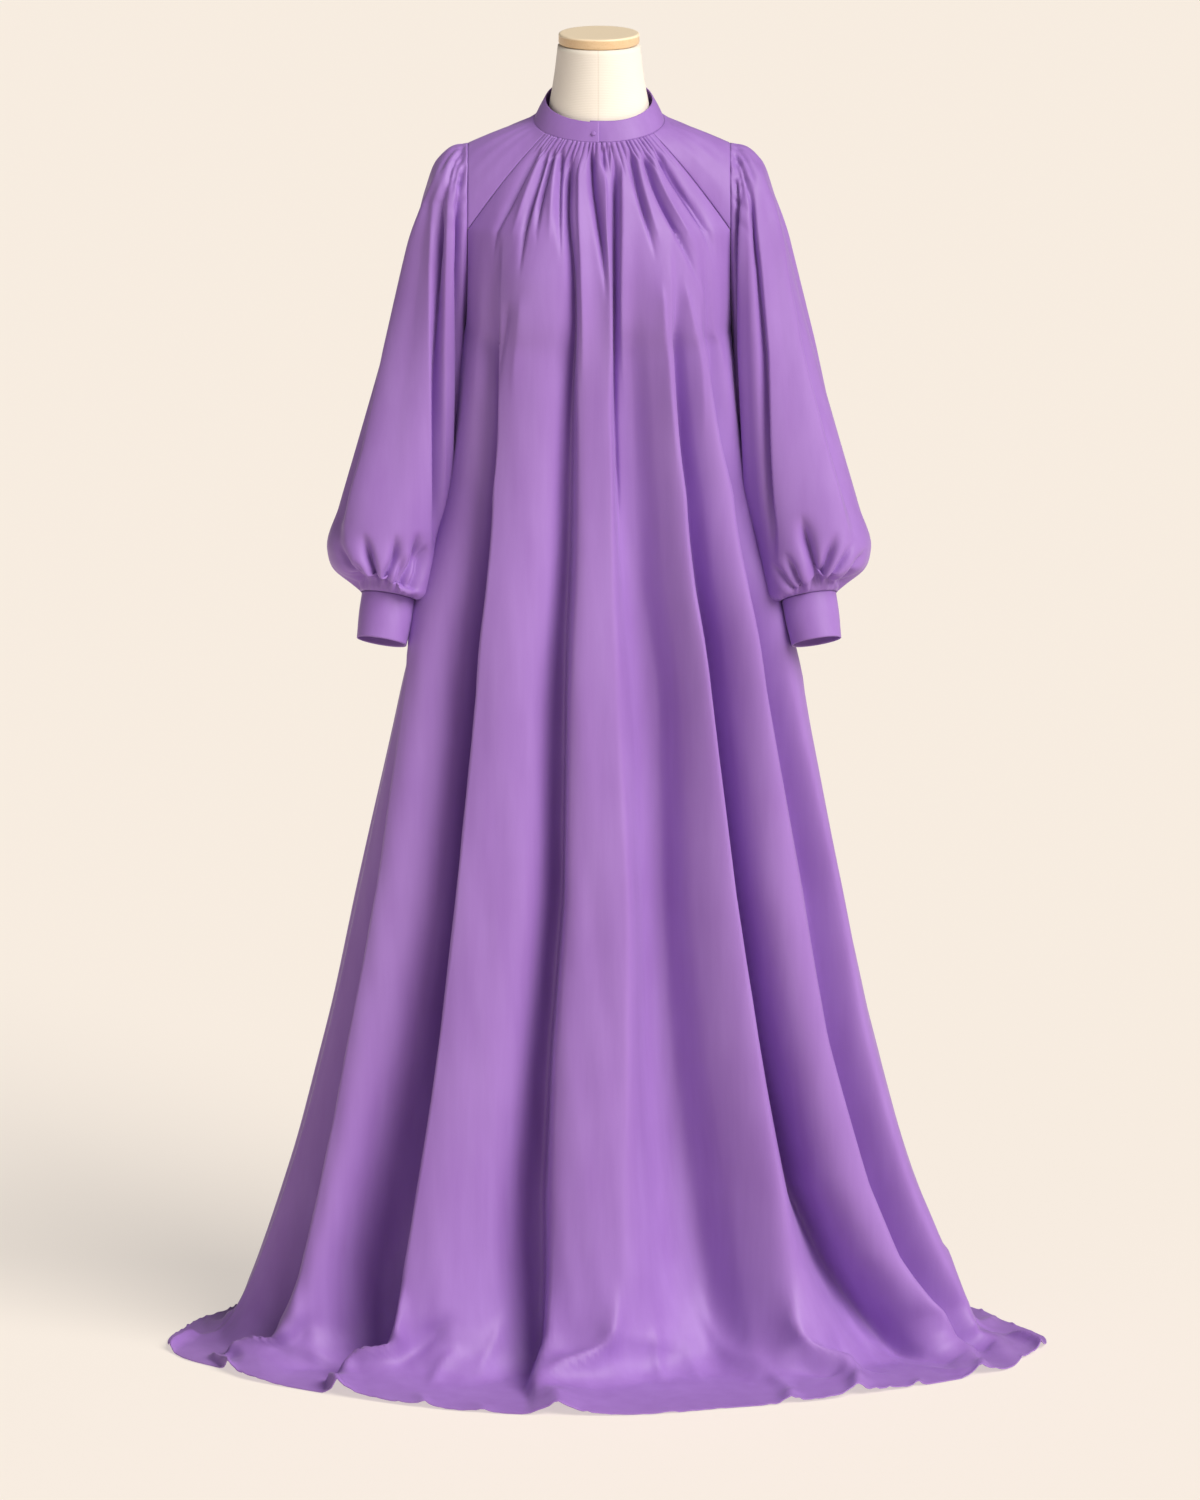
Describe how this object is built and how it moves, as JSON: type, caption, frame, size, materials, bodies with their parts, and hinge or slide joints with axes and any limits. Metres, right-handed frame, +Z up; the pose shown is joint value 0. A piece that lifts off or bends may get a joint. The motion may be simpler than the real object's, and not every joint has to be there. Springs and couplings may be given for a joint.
{
  "type": "abaya on a dress form",
  "caption": "Full-length flared abaya with gathered neck, stand collar and bishop sleeves, hem spread on the floor, worn by a limbless dress form.",
  "frame": {"origin": "on the floor, under the middle of the dress form's foot", "axes": "+Z up along the pole, -Y the front of the garment, +X the right as seen from the front"},
  "size_m": [1.0981, 0.6498, 1.6534],
  "materials": {
    "crepe": "matt crepe with a soft satin glow",
    "form_cloth": "close matt jersey stretched smooth",
    "beech": "satin lacquer",
    "painted_steel": "satin powder coat"
  },
  "bodies": {
    "root": {"front_panel": "crepe", "back_panel": "crepe", "yoke_left": "crepe", "yoke_right": "crepe", "sleeve_left": "crepe", "sleeve_right": "crepe", "cuff_left": "crepe", "cuff_right": "crepe", "collar": "crepe", "collar_button": "crepe", "form_body": "form_cloth", "form_neck_cap": "beech", "form_pole": "painted_steel", "form_foot": "painted_steel"}
  },
  "joints": []
}
